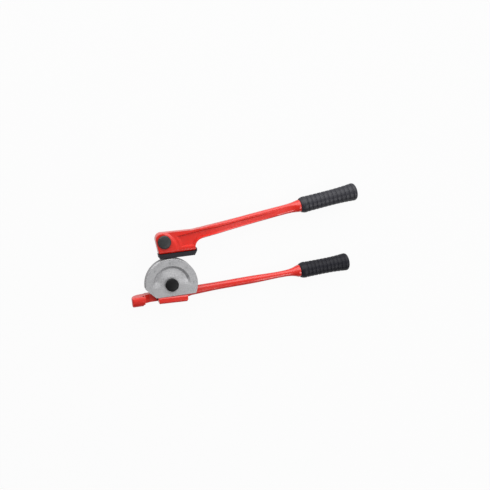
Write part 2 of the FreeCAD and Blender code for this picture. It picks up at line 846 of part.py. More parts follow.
def hook_profile():
    """The hook seen along the tube: back of the neck, round outer corner, tip and tube channel."""
    left = -bend_radius - groove_radius - hook_reach
    plate_x = -wheel_flat_left + neck_overlap
    tip = groove_level + hook_thickness
    neck_front = wheel_low - neck_clearance
    start = Vector(plate_x, 0, 0)
    corner_centre = Vector(left + hook_corner_radius, 0, hook_back_rise + hook_corner_radius)
    to_start = start - corner_centre
    touch = math.atan2(to_start.z, to_start.x) - math.acos(hook_corner_radius / to_start.Length)
    corner_start = corner_centre + Vector(math.cos(touch), 0, math.sin(touch)) * hook_corner_radius
    corner_middle = corner_centre + Vector(-1, 0, -1).normalize() * hook_corner_radius
    corner_end = corner_centre + Vector(-hook_corner_radius, 0, 0)
    tip_centre = Vector(left + hook_tip_radius, 0, tip - hook_tip_radius)
    tip_side = tip_centre + Vector(-hook_tip_radius, 0, 0)
    tip_middle = tip_centre + Vector(-1, 0, 1).normalize() * hook_tip_radius
    tip_front = tip_centre + Vector(0, 0, hook_tip_radius)
    mouth = Vector(-bend_radius - hook_mouth, 0, tip)
    channel_high = Vector(mouth.x, 0, groove_level + math.sqrt(groove_radius ** 2 - hook_mouth ** 2))
    channel_middle = Vector(-bend_radius - groove_radius, 0, groove_level)
    channel_low = Vector(-bend_radius, 0, groove_level - groove_radius)
    ramp = Vector(-bend_radius + neck_ramp, 0, neck_front)
    plate_front = Vector(plate_x, 0, neck_front)
    return [
        line(start, corner_start),
        arc(corner_start, corner_middle, corner_end),
        line(corner_end, tip_side),
        arc(tip_side, tip_middle, tip_front),
        line(tip_front, mouth),
        line(mouth, channel_high),
        arc(channel_high, channel_middle, channel_low),
        line(channel_low, ramp),
        line(ramp, plate_front),
        line(plate_front, start),
    ]


def hook():
    """The fixed handle's hook: a neck behind the tube and a taller block that holds the tube's outer side."""
    face = face_of(hook_profile())
    face.translate(Vector(0, -hook_top_drop, 0))
    inner = -bend_radius - hook_mouth
    outside = Part.makeBox(far, far, far, Vector(inner - far, -far, 0))
    neck = face.extrude(Vector(0, -neck_height, 0)).cut(outside)
    block = face.extrude(Vector(0, -hook_height, 0)).common(outside)
    tip = groove_level + hook_thickness
    back = groove_level - groove_radius - hook_back_rise

    def outer(p, e):
        on_an_end = same(p.y, -hook_top_drop) or same(p.y, -hook_top_drop - hook_height)
        outside = p.z < back or p.z > tip - hook_tip_radius or p.x < inner - hook_reach
        return on_an_end and outside and not same(p.x, inner)

    block = block.makeFillet(hook_edge_radius, edges_where(block, outer))
    crown_centre = Vector(inner - far, -hook_top_drop - hook_crown_drop, tip - hook_crown_radius)
    crown = Part.makeCylinder(hook_crown_radius, far, crown_centre, Vector(1, 0, 0))
    behind = Part.makeBox(far, far, crown_centre.z, Vector(inner - far, -far / 2, 0))
    return neck.fuse(block.common(crown.fuse(behind)))


def ledge():
    """The seat under the wheel's flat, standing forward from the plate to the wheel's face."""
    top = -wheel_flat_drop
    low = top - ledge_height
    round_low = Vector(0, low, wheel_high - ledge_round)
    round_front = Vector(0, low + ledge_round, wheel_high)
    short = ledge_round * (1 - math.sqrt(0.5))
    points = [
        round_front,
        Vector(0, top - ledge_bevel, wheel_high),
        Vector(0, top, wheel_high - ledge_bevel_depth),
        Vector(0, top, 0),
        Vector(0, low, 0),
        round_low,
    ]
    edges = [line(a, b) for a, b in zip(points, points[1:])]
    edges.append(arc(round_low, Vector(0, low + short, wheel_high - short), round_front))
    body = face_of(edges).extrude(Vector(2 * far, 0, 0))
    body.translate(Vector(-far, 0, 0))
    body.rotate(Vector(-ledge_left, low, 0), Vector(0, 0, 1), -ledge_slope)
    seat_low = Vector(-far, top - ledge_height / 2, 0)
    seat = Part.makeBox(2 * far, ledge_height / 2, wheel_high - ledge_bevel, seat_low)
    above = Part.makeBox(2 * far, far, far, Vector(-far, top, 0))
    body = body.fuse(seat).cut(above)
    ends = prism(
        [
            (-ledge_left - ledge_slant, top + overlap),
            (-ledge_left, low - overlap),
            (ledge_right - ledge_corner_radius, low - overlap),
            (ledge_right, low + ledge_corner_radius),
            (ledge_right, top + overlap),
        ],
        0,
        far,
    )
    return body.common(ends)


def plate():
    """The flat of the fixed handle behind the wheel: a hub disc with webs running to the neck and the bar."""
    low = -wheel_flat_drop - ledge_height
    left = -wheel_flat_left + neck_overlap / 2
    right = ledge_right + web_reach
    bar_low = fixed_origin().y - fixed_bar_height / 2
    shoulder_x = web_shoulder_share * hub_plate_radius
    web = prism(
        [
            (left, -hook_top_drop),
            (left, -hook_top_drop - neck_height),
            (-ledge_left - ledge_slant, low + ledge_slant),
            (-ledge_left, low),
            (ledge_right, low),
            (right, bar_low + right * math.tan(math.radians(fixed_angle))),
            (right, -hook_top_drop),
            (shoulder_x, -web_top_drop),
            (-shoulder_x, -web_top_drop),
        ],
        0,
        plate_thickness,
    )
    return web.fuse(cylinder(hub_plate_radius, 0, plate_thickness)).removeSplitter()


def fixed_handle():
    """The fixed handle: one casting of hook, plate, ledge, bar, flare and tang."""
    origin = fixed_origin()
    body = plate().fuse(hook())
    body = body.fuse(bar(origin, fixed_angle, fixed_stations())).fuse(ledge())
    body = body.fuse(shoulder(origin, fixed_angle, fixed_grip_start))
    length = fixed_grip_length * tang_share
    body = body.fuse(tang(origin, fixed_angle, fixed_grip_start, length))
    room = bearing_radius + eye_wall + link_room
    body = body.cut(cylinder(room, plate_thickness, wheel_low))
    body = body.cut(cylinder(nut_pocket_radius, -1, nut_sink + nut_height + nut_washer_thickness))
    return body.cut(cylinder(bolt_radius + seat_fit, -1, far)).removeSplitter()


def grip_radius(share):
    """The grip's radius over its ribs: full at the collar, slimmer in the palm, full again at the end."""
    if share < 0.5:
        ends = grip_collar_radius - grip_rib_drop
    else:
        ends = grip_end_radius - grip_rib_drop
    return grip_waist_radius + (ends - grip_waist_radius) * (2 * share - 1) ** 2


def grip_profile(length):
    """Half the grip's section: collar, ribs, closed domed end and the blind bore for the tang."""
    bore = tang_radius + running_fit
    floor = length * tang_share + grip_bore_room
    ribbed = length - grip_collar_length - grip_cap_length
    count = max(int(round(ribbed / grip_rib_pitch)), 2)
    pitch = ribbed / count
    points = [
        (0, bore),
        (0, grip_mouth_radius),
        (grip_mouth_lip, grip_mouth_radius + grip_mouth_rise),
        (grip_collar_brow, grip_collar_radius - grip_collar_drop),
        (grip_collar_brow + grip_collar_ease, grip_collar_radius),
        (grip_collar_length - grip_groove_width / 2, grip_collar_radius),
    ]
    for index in range(count):
        start = grip_collar_length + index * pitch
        ends = (grip_radius(index / count), grip_radius((index + 1) / count))
        points.append((start, ends[0] - grip_groove_depth))
        points.append((start + grip_groove_width * 0.5, ends[0] - grip_groove_depth))
        points.append((start + grip_groove_width, ends[0]))
        points.append((start + pitch - grip_groove_width * 0.5, ends[1]))
    last = length - grip_cap_length
    points.append((last, grip_end_radius - grip_groove_depth))
    points.append((last + grip_groove_width * 0.5, grip_end_radius - grip_groove_depth))
    points.append((last + grip_groove_width, grip_end_radius))
    shoulder_x = length - grip_cap_dome - grip_cap_corner
    points.append((shoulder_x, grip_end_radius))
    spots = [Vector(x, 0, r) for x, r in points]
    edges = [line(a, b) for a, b in zip(spots, spots[1:])]
    bulge = grip_cap_corner * math.sqrt(0.5)
    centre = Vector(shoulder_x, 0, grip_end_radius - grip_cap_corner)
    brow = centre + Vector(grip_cap_corner, 0, 0)
    peak = Vector(length, 0, 0)
    edges.append(arc(spots[-1], centre + Vector(bulge, 0, bulge), brow))
    edges.append(dome(brow, peak, Vector(1, 0, 0)))
    edges += [line(peak, Vector(floor, 0, 0)), line(Vector(floor, 0, 0), Vector(floor, 0, bore))]
    edges.append(line(Vector(floor, 0, bore), spots[0]))
    return face_of(edges)


def grip(origin, angle, start, length):
    """A ribbed rubber sleeve pushed over a handle's tang."""
    body = grip_profile(length).revolve(Vector(0, 0, 0), Vector(1, 0, 0), 360)
    body.Placement = along(origin, angle, start, grip_level)
    return body


def nodes():
    """Every sub-part by name."""
    return {
        "fixed_handle": fixed_handle(),
        "forming_wheel": forming_wheel(),
        "centre_bolt": centre_bolt(),
        "centre_bush": centre_bush(),
        "front_thrust_washer": thrust_washer(front_washer_low),
        "rear_thrust_washer": thrust_washer(rear_washer_low),
        "nut_washer": nut_washer(),
        "centre_nut": centre_nut(),
        "lower_grip": grip(fixed_origin(), fixed_angle, fixed_grip_start, fixed_grip_length),
        "link_strap": link_strap(),
        "link_bearing": link_bearing(),
        "lever_pin": lever_pin(),
        "pin_washer": pin_washer(),
        "lever_washer": lever_washer(),
        "retaining_ring": retaining_ring(),
        "lever_handle": lever_handle(),
        "lever_bearing": lever_bearing(),
        "slide_shoe": slide_shoe(),
        "shoe_screws": shoe_screws(),
        "upper_grip": grip(lever_origin(), lever_angle, lever_grip_start, lever_grip_length),
    }


os.makedirs("parts", exist_ok=True)
for name, shape in nodes().items():
    shape.exportStep(os.path.join("parts", name + ".step"))
    solids = shape.Solids
    print(name, len(solids), shape.isValid(), round(sum(s.Volume for s in solids)))
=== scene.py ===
import math

import bmesh
import bpy
from mathutils import Matrix, Vector


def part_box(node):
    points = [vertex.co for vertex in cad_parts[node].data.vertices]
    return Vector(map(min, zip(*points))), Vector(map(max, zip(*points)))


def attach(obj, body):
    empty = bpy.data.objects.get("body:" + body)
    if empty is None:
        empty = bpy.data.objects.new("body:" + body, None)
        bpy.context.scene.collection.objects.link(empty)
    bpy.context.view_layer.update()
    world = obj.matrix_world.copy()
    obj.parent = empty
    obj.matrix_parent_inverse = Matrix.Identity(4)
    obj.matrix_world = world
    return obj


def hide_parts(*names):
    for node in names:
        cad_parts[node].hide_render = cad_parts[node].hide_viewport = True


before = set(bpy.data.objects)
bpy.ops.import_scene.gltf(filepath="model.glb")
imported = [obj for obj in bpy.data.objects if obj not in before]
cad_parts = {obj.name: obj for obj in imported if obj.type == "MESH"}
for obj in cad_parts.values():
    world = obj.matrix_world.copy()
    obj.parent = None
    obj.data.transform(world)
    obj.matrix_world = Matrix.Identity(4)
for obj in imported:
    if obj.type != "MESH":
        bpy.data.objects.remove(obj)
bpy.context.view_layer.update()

# Fixed handle
# One iron casting: the bar, the plate and ledge that carry the wheel, and the hook for the tube's
# end. It is sprayed glossy red over the skin that the sand mould leaves, thinly on the corners,
# whose paler pink is partly worn thin paint and partly a painted highlight.
PAINT_RED = (0.75, 0.018, 0.008, 1)
PAINT_WORN_HIGHLIGHT = (0.80, 0.110, 0.080, 1)
PAINT_DEEP = (0.60, 0.018, 0.009, 1)
PAINT_SHADE = (0.30, 0.012, 0.010, 1)
BARE_IRON = (0.34, 0.33, 0.32, 1)
TUBE_BORE = 0.0077
BORE_FADE = 0.0002
HOOK_TUBE_X = -0.056
HOOK_TUBE_LEVEL = 0.0322
HOOK_WALL_X = -0.060
HOOK_FADE = 0.0015
LOW_SHADE_FULL = 0.002
LOW_SHADE_NONE = 0.020
LOW_SHADE_WAVER = 0.006
PAINT_DEPTH = 0.00028


def feed(tree, socket, value):
    """An input set to a value, or linked to the socket that gives it."""
    if isinstance(value, bpy.types.NodeSocket):
        tree.links.new(value, socket)
    else:
        socket.default_value = value


def add(tree, kind, inputs=None, **settings):
    """A shader node with its settings, and inputs given as values or as sockets."""
    node = tree.nodes.new("ShaderNode" + kind)
    for name, value in settings.items():
        setattr(node, name, value)
    for name, value in (inputs or {}).items():
        feed(tree, node.inputs[name], value)
    return node


def maths(tree, operation, *values):
    """The result of a Math node whose inputs are numbers or sockets."""
    return add(tree, "Math", dict(enumerate(values)), operation=operation).outputs[0]


def blend(tree, share, first, second):
    """A colour between two colours, by a share from 0 to 1."""
    mix = add(tree, "Mix", {"Factor": share}, data_type="RGBA")
    colours = [socket for socket in (*mix.inputs, *mix.outputs) if socket.type == "RGBA"]
    feed(tree, colours[0], first)
    feed(tree, colours[1], second)
    return colours[2]


def ramp(tree, value, low, high, start=0.0, end=1.0):
    """A value carried from one range to another with soft ends."""
    inputs = {"Value": value, "From Min": low, "From Max": high, "To Min": start, "To Max": end}
    return add(tree, "MapRange", inputs, interpolation_type="SMOOTHSTEP").outputs["Result"]


def place(tree):
    """The point on the piece at rest, in metres."""
    return add(tree, "TexCoord").outputs["Object"]


def noise(tree, where, scale, detail=2.0, roughness=0.5):
    """A smooth random value, whose grain gets finer with its scale."""
    inputs = {"Vector": where, "Scale": scale, "Detail": detail, "Roughness": roughness}
    return add(tree, "TexNoise", inputs).outputs[0]


def apart(tree, first, second):
    """The length of a line with two given parts at right angles."""
    squares = [maths(tree, "MULTIPLY", part, part) for part in (first, second)]
    return maths(tree, "SQRT", maths(tree, "ADD", *squares))


def in_bore(tree, first, first_centre, second, second_centre):
    """1 in the bore that holds the tube, given two coordinates across it, and 0 outside."""
    off_centre = apart(tree, maths(tree, "SUBTRACT", first, first_centre),
                       maths(tree, "SUBTRACT", second, second_centre))
    return ramp(tree, off_centre, TUBE_BORE, TUBE_BORE + BORE_FADE, 1.0, 0.0)


def effect(name, output, **inputs):
    """An empty shader node group with named inputs and one named output."""
    group = bpy.data.node_groups.new(name, "ShaderNodeTree")
    for label, value in inputs.items():
        socket = group.interface.new_socket(label, in_out="INPUT", socket_type="NodeSocketFloat")
        socket.default_value = value
    group.interface.new_socket(output, in_out="OUTPUT", socket_type="NodeSocketFloat")
    given = group.nodes.new("NodeGroupInput").outputs
    return group, given, group.nodes.new("NodeGroupOutput").inputs[output]


def use(tree, group, **inputs):
    """The output of an effect that is placed in a material."""
    node = tree.nodes.new("ShaderNodeGroup")
    node.node_tree = group
    for label, value in inputs.items():
        node.inputs[label].default_value = value
    return node.outputs[0]


def finish(name, **values):
    """A material with its own shader, whose plain values are set on the shader's sockets."""
    material = bpy.data.materials.new(name)
    material.use_nodes = True
    tree = material.node_tree
    tree.nodes.clear()
    sockets = {label.replace("_", " "): value for label, value in values.items()}
    shader = add(tree, "BsdfPrincipled", sockets)
    add(tree, "OutputMaterial", {"Surface": shader.outputs[0]})
    return material, tree, shader.inputs


def relief(tree, height, depth):
    """The normal of a surface whose height in metres is depth times a value."""
    return add(tree, "Bump", {"Height": height, "Distance": depth, "Strength": 1.0}).outputs[0]


def dress(node, material):
    """A piece of the frame in its real finish."""
    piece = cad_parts[node]
    piece.data.materials.clear()
    piece.data.materials.append(material)


# how much a corner stands out, broken up in patches as rubbing leaves it
edge_wear, given, gives = effect("edge_wear", "Mask", Width=0.001, Patches=60.0, Reach=1.0)
rounded = add(edge_wear, "Bevel", {"Radius": given["Width"]}, samples=6).outputs[0]
plain = add(edge_wear, "NewGeometry").outputs["Normal"]
bend = add(edge_wear, "VectorMath", {0: rounded, 1: plain}, operation="DOT_PRODUCT")
corner = ramp(edge_wear, maths(edge_wear, "SUBTRACT", 1.0, bend.outputs["Value"]), 0.01, 0.16)
cloud = noise(edge_wear, place(edge_wear), given["Patches"], 4.0, 0.6)
patches = maths(edge_wear, "MULTIPLY", corner, ramp(edge_wear, cloud, 0.36, 0.62))
feed(edge_wear, gives, maths(edge_wear, "MULTIPLY", patches, given["Reach"]))

# painted shade: how closed in a point lies in a corner, found by ambient occlusion, used to darken
# colours there
corner_shade, given, gives = effect("corner_shade", "Mask", Depth=0.006, Reach=1.0)
reach = {"Distance": given["Depth"]}
around = add(corner_shade, "AmbientOcclusion", reach, samples=8, only_local=True).outputs["AO"]
closed = ramp(corner_shade, maths(corner_shade, "SUBTRACT", 1.0, around), 0.05, 0.75)
feed(corner_shade, gives, maths(corner_shade, "MULTIPLY", closed, given["Reach"]))

# the skin of a sand casting: soft swells with fine grains on them
cast_skin, given, gives = effect("cast_skin", "Height", Swell=120.0, Grain=900.0, Grit=0.3)
swell = noise(cast_skin, place(cast_skin), given["Swell"], 2.0, 0.5)
grain = noise(cast_skin, place(cast_skin), given["Grain"], 3.0, 0.6)
grit = maths(cast_skin, "MULTIPLY", grain, given["Grit"])
feed(cast_skin, gives, maths(cast_skin, "ADD", swell, grit))

# patches that hands and oil leave, as a rise in roughness
handling, given, gives = effect("handling", "Roughness", Size=35.0, Least=0.3, Most=0.5)
smears = noise(handling, place(handling), given["Size"], 5.0, 0.65)
spread = {"Value": smears, "From Min": 0.35, "From Max": 0.7}
spread.update({"To Min": given["Least"], "To Max": given["Most"]})
feed(handling, gives, add(handling, "MapRange", spread, clamp=True).outputs["Result"])

red_paint, tree, shader = finish("red_paint", Coat_Weight=0.7, Coat_Roughness=0.18,
                                 Specular_IOR_Level=0.5)
tone = ramp(tree, noise(tree, place(tree), 28.0, 3.0, 0.55), 0.3, 0.75, 0.0, 0.35)
worn = use(tree, edge_wear, Width=0.0011, Patches=70.0, Reach=0.75)
# painted shade: the paint darkens towards PAINT_SHADE in corners and recesses, by ambient occlusion
corner_shade_mask = use(tree, corner_shade, Depth=0.007, Reach=0.8)
# the corners blend to a paler pink: partly thin worn paint, partly a painted highlight along the
# edges
coloured = blend(tree, worn, blend(tree, tone, PAINT_RED, PAINT_DEEP), PAINT_WORN_HIGHLIGHT)
along, across, level = add(tree, "SeparateXYZ", {0: place(tree)}).outputs
# painted shade: the paint darkens towards PAINT_SHADE near the side the tool rests on, low in Z,
# with a noisy edge
waver = maths(tree, "MULTIPLY", noise(tree, place(tree), 45.0, 4.0, 0.6), LOW_SHADE_WAVER)
low_shade = ramp(tree, maths(tree, "ADD", level, waver), LOW_SHADE_FULL, LOW_SHADE_NONE, 0.6, 0.0)
shaded_paint = blend(tree, maths(tree, "MAXIMUM", corner_shade_mask, low_shade), coloured, PAINT_SHADE)
streaks = ramp(tree, noise(tree, place(tree), 160.0, 4.0, 0.6), 0.30, 0.55, 0.25, 1.0)
rubbed = maths(tree, "MULTIPLY", in_bore(tree, along, HOOK_TUBE_X, level, HOOK_TUBE_LEVEL), streaks)
on_wall = ramp(tree, along, HOOK_WALL_X - HOOK_FADE, HOOK_WALL_X, 1.0, 0.0)
rubbed = maths(tree, "MULTIPLY", rubbed, on_wall)
feed(tree, shader["Base Color"], blend(tree, rubbed, shaded_paint, BARE_IRON))
feed(tree, shader["Metallic"], maths(tree, "MULTIPLY", rubbed, 0.9))
feed(tree, shader["Roughness"], use(tree, handling, Size=30.0, Least=0.26, Most=0.44))
skin = use(tree, cast_skin, Swell=130.0, Grain=750.0, Grit=0.16)
feed(tree, shader["Normal"], relief(tree, skin, PAINT_DEPTH))
dress("fixed_handle", red_paint)

# Centre bush and thrust washers
# A steel bush, clamped on the handle's plate, on which the link turns, and a thin washer on each
# side of the link. All three are turned and ground bright, with rings from the lathe tool.
BRIGHT = (0.60, 0.60, 0.61, 1)
BRIGHT_DULL = (0.40, 0.39, 0.38, 1)
LATHE_RINGS = 125
RING_DEPTH = 0.00001
wheel_axis = (0, 0, 0)


def turned(tree, axis, rings):
    """The height of fine rings round an axis along Z, which a lathe leaves on a face."""
    shifted = add(tree, "VectorMath", {0: place(tree), 1: axis}, operation="SUBTRACT").outputs[0]
    inputs = {"Vector": shifted, "Scale": rings, "Distortion": 1.5, "Detail": 3.0,
              "Detail Scale": 4.0}
    return add(tree, "TexWave", inputs, wave_type="RINGS", rings_direction="Z").outputs[1]


def bright_steel(name, axis, colour=BRIGHT, dull=BRIGHT_DULL, least=0.24, most=0.42):
    """Plated or ground steel with turning rings, duller where it is handled."""
    material, tree, shader = finish(name, Metallic=1.0)
    stain = ramp(tree, noise(tree, place(tree), 90.0, 5.0, 0.6), 0.35, 0.75, 0.0, 0.6)
    feed(tree, shader["Base Color"], blend(tree, stain, colour, dull))
    feed(tree, shader["Roughness"], use(tree, handling, Size=120.0, Least=least, Most=most))
    feed(tree, shader["Normal"], relief(tree, turned(tree, axis, LATHE_RINGS), RING_DEPTH))
    return material


centre_steel = bright_steel("ground_steel", wheel_axis)
for node in ("centre_bush", "rear_thrust_washer", "front_thrust_washer"):
    dress(node, centre_steel)

# Link and its bearing
# A flat steel strap behind the wheel, blackened in hot oil, that carries the lever's pin round
# the wheel. A bronze bearing is pressed into its eye.
BLACKENED = (0.030, 0.029, 0.031, 1)
BLACKENED_WORN = (0.16, 0.155, 0.15, 1)
COARSE_RINGS = 100
COARSE_DEPTH = 0.000012
BRONZE = (0.58, 0.37, 0.17, 1)
BRONZE_DARK = (0.30, 0.17, 0.07, 1)


def blackened_steel(name, colour, worn_colour, axis, least, most, reach):
    """Oil-blackened steel, grey where its corners have rubbed."""
    material, tree, shader = finish(name, Metallic=0.55, Specular_IOR_Level=0.5)
    worn = use(tree, edge_wear, Width=0.0007, Patches=240.0, Reach=reach)
    cloud = ramp(tree, noise(tree, place(tree), 140.0, 4.0, 0.6), 0.3, 0.8, 0.0, 0.25)
    clouded = blend(tree, cloud, colour, worn_colour)
    feed(tree, shader["Base Color"], blend(tree, worn, clouded, worn_colour))
    feed(tree, shader["Roughness"], use(tree, handling, Size=160.0, Least=least, Most=most))
    feed(tree, shader["Normal"], relief(tree, turned(tree, axis, COARSE_RINGS), COARSE_DEPTH))
    return material


strap_steel = blackened_steel("blackened_strap", BLACKENED, BLACKENED_WORN, wheel_axis,
                              least=0.38, most=0.56, reach=0.8)
dress("link_strap", strap_steel)
link_bronze = bright_steel("bearing_bronze", wheel_axis, BRONZE, BRONZE_DARK, least=0.26, most=0.40)
dress("link_bearing", link_bronze)

# Forming wheel
# An alloy casting, left as cast and tumbled on its faces, with the half-round groove for the
# tube cut in the rim and polished by the tubes that are drawn through it.
WHEEL_GREY = (0.515, 0.515, 0.525, 1)
WHEEL_DARK = (0.30, 0.30, 0.31, 1)
WHEEL_PALE = (0.60, 0.60, 0.61, 1)
WHEEL_SHADE = (0.10, 0.10, 0.10, 1)
PIT_DEPTH = 0.00022
low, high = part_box("forming_wheel")
wheel_radius = high.x
wheel_face = high.z
groove_level = (low.z + high.z) / 2

wheel_alloy, tree, shader = finish("tumbled_alloy", Metallic=0.5)
spot = place(tree)
speckle = ramp(tree, noise(tree, spot, 520.0, 3.0, 0.7), 0.38, 0.66)
cloud = ramp(tree, noise(tree, spot, 60.0, 3.0, 0.6), 0.3, 0.7, 0.0, 0.45)
worn = use(tree, edge_wear, Width=0.0009, Patches=160.0, Reach=0.8)
body = blend(tree, cloud, blend(tree, speckle, WHEEL_GREY, WHEEL_DARK), WHEEL_GREY)
along, across, level = add(tree, "SeparateXYZ", {0: spot}).outputs
polished = in_bore(tree, apart(tree, along, across), wheel_radius, level, groove_level)
# painted shade: the wheel's colour darkens towards WHEEL_SHADE where ambient occlusion finds the
# recess and corners closed in
corner_shade_mask = use(tree, corner_shade, Depth=0.010, Reach=0.35)
bright = maths(tree, "MAXIMUM", worn, maths(tree, "MULTIPLY", polished, 0.6))
rubbed = blend(tree, bright, body, WHEEL_PALE)
feed(tree, shader["Base Color"], blend(tree, corner_shade_mask, rubbed, WHEEL_SHADE))
rough = use(tree, handling, Size=80.0, Least=0.40, Most=0.56)
smoother = maths(tree, "MULTIPLY", polished, 0.2)
feed(tree, shader["Roughness"], maths(tree, "SUBTRACT", rough, smoother))
pits = use(tree, cast_skin, Swell=300.0, Grain=1500.0, Grit=0.8)
pits = maths(tree, "MULTIPLY", pits, maths(tree, "SUBTRACT", 1.0, polished))
feed(tree, shader["Normal"], relief(tree, pits, PIT_DEPTH))
dress("forming_wheel", wheel_alloy)

# Degree marks
# Strokes every ten degrees and longer ones with figures every 45, stamped round the wheel's face
# and filled with grey paint. The bend's angle is read on them.
MARK_GREY = (0.12, 0.12, 0.125, 1)
MARK_LIFT = 0.00004
MARK_THICK = 0.00008
HALF_TURN = 180
STROKE_EVERY = 5
SHORT_EVERY = 10
LONG_EVERY = 45
STROKE_RING = wheel_radius - 0.0016
STROKE_SHORT = 0.0026
STROKE_LONG = 0.0044
STROKE_WIDTH = 0.00034
STROKE_TAPER = 0.6
STROKE_FACES = ((3, 2, 1, 0), (4, 5, 6, 7), (0, 1, 5, 4), (1, 2, 6, 5), (2, 3, 7, 6), (3, 0, 4, 7))
FIGURE_HEIGHT = 0.0044
FIGURE_RING = wheel_radius - 0.0092


def stand(name, data):
    """A new object in the scene."""
    item = bpy.data.objects.new(name, data)
    bpy.context.scene.collection.objects.link(item)
    return item


def outline_mesh(name, curve):
    """The mesh of a curve or a text."""
    shape = stand(name, curve)
    bpy.context.view_layer.update()
    evaluated = shape.evaluated_get(bpy.context.evaluated_depsgraph_get())
    mesh = bpy.data.meshes.new_from_object(evaluated)
    bpy.data.objects.remove(shape)
    return mesh


def settle(name, shape):
    """The mesh of a bmesh, which is freed."""
    mesh = bpy.data.meshes.new(name)
    shape.to_mesh(mesh)
    shape.free()
    return mesh


def on_ring(radius, angle):
    """The point at an angle on a ring round the origin."""
    return radius * math.cos(angle), radius * math.sin(angle)


marks = bmesh.new()
levels = (wheel_face + MARK_LIFT - MARK_THICK, wheel_face + MARK_LIFT)
for degrees in range(0, HALF_TURN + 1, STROKE_EVERY):
    is_long = degrees % LONG_EVERY == 0
    if degrees % SHORT_EVERY and not is_long:
        continue
    length = STROKE_LONG if is_long else STROKE_SHORT
    turn = Matrix.Rotation(math.radians(HALF_TURN - degrees), 4, "Z")
    corners = []
    for level in levels:
        for share, side in ((0, -1), (0, 1), (1, STROKE_TAPER), (1, -STROKE_TAPER)):
            corner = Vector((STROKE_RING - share * length, side * STROKE_WIDTH / 2, level))
            corners.append(marks.verts.new(turn @ corner))
    for face in STROKE_FACES:
        marks.faces.new([corners[i] for i in face])
for degrees in range(0, HALF_TURN + 1, LONG_EVERY):
    letters = bpy.data.curves.new("figure", "FONT")
    letters.body = str(degrees)
    letters.size = FIGURE_HEIGHT
    letters.align_x = "CENTER"
    letters.align_y = "CENTER"
    letters.extrude = MARK_THICK / 2
    letters.resolution_u = 3
    mesh = outline_mesh("figure", letters)
    angle = math.radians(HALF_TURN - degrees)
    stamped = Matrix.Translation((*on_ring(FIGURE_RING, angle), sum(levels) / 2))
    mesh.transform(stamped @ Matrix.Rotation(angle - math.pi / 2, 4, "Z"))
    marks.from_mesh(mesh)
bmesh.ops.remove_doubles(marks, verts=marks.verts, dist=1e-6)
mesh = settle("degree_marks", marks)
mark_paint, tree, shader = finish("mark_paint", Specular_IOR_Level=0.4)
faded = ramp(tree, noise(tree, place(tree), 700.0, 4.0, 0.7), 0.35, 0.7, 0.0, 0.8)
feed(tree, shader["Base Color"], blend(tree, faded, MARK_GREY, WHEEL_DARK))
feed(tree, shader["Roughness"], use(tree, handling, Size=200.0, Least=0.5, Most=0.7))
mesh.materials.append(mark_paint)
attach(stand("degree_marks", mesh), "fixed")

# Centre bolt, nut and washer
# A round-headed bolt, blackened, that clamps the wheel to the handle through the bush. Its
# plated nut and washer sit in a pocket in the handle's back.
BOLT_BLACK = (0.005, 0.005, 0.006, 1)
BOLT_WORN = (0.035, 0.033, 0.035, 1)
ZINC = (0.55, 0.55, 0.53, 1)
ZINC_DULL = (0.38, 0.37, 0.34, 1)

bolt_steel = blackened_steel("blackened_bolt", BOLT_BLACK, BOLT_WORN, wheel_axis,
                             least=0.42, most=0.58, reach=0.5)
dress("centre_bolt", bolt_steel)
zinc_plate = bright_steel("zinc_plate", wheel_axis, ZINC, ZINC_DULL, least=0.28, most=0.48)
for node in ("centre_nut", "nut_washer"):
    dress(node, zinc_plate)

# Lever handle and its bearing
# The second casting: a hollowed head with the boss for the pin and a bar that is channelled on
# both faces. It has the same red paint. A bronze bearing is pressed into the boss.
low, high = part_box("lever_pin")
pin_axis = ((low.x + high.x) / 2, (low.y + high.y) / 2, 0)
dress("lever_handle", red_paint)
pin_bronze = bright_steel("pin_bronze", pin_axis, BRONZE, BRONZE_DARK, least=0.26, most=0.40)
dress("lever_bearing", pin_bronze)

# Slide shoe and its screws
# A grooved bar of blackened cast iron that presses the tube into the wheel and slides along it,
# so its groove is rubbed to bare metal. Two socket screws hold it to the head from its groove.
SHOE_BLACK = (0.024, 0.022, 0.028, 1)
SHOE_RUBBED = (0.20, 0.20, 0.205, 1)
SHOE_DEPTH = 0.00022
shoe_iron, tree, shader = finish("shoe_iron", Metallic=0.5, Specular_IOR_Level=0.5)
spot = place(tree)
along, across, level = add(tree, "SeparateXYZ", {0: spot}).outputs
drawn = add(tree, "Mapping", {"Vector": spot, "Scale": (0.05, 1.0, 1.0)}).outputs[0]
streaks = ramp(tree, noise(tree, drawn, 900.0, 3.0, 0.6), 0.3, 0.6, 0.45, 1.0)
bore = in_bore(tree, across, wheel_radius, level, groove_level)
polished = maths(tree, "MULTIPLY", bore, streaks)
worn = use(tree, edge_wear, Width=0.0007, Patches=200.0, Reach=0.6)
bright = maths(tree, "MAXIMUM", maths(tree, "MULTIPLY", worn, 0.5), polished)
feed(tree, shader["Base Color"], blend(tree, bright, SHOE_BLACK, SHOE_RUBBED))
rough = use(tree, handling, Size=90.0, Least=0.40, Most=0.56)
smoother = maths(tree, "MULTIPLY", polished, 0.18)
feed(tree, shader["Roughness"], maths(tree, "SUBTRACT", rough, smoother))
skin = use(tree, cast_skin, Swell=240.0, Grain=1100.0, Grit=0.4)
feed(tree, shader["Normal"], relief(tree, skin, SHOE_DEPTH))
dress("slide_shoe", shoe_iron)

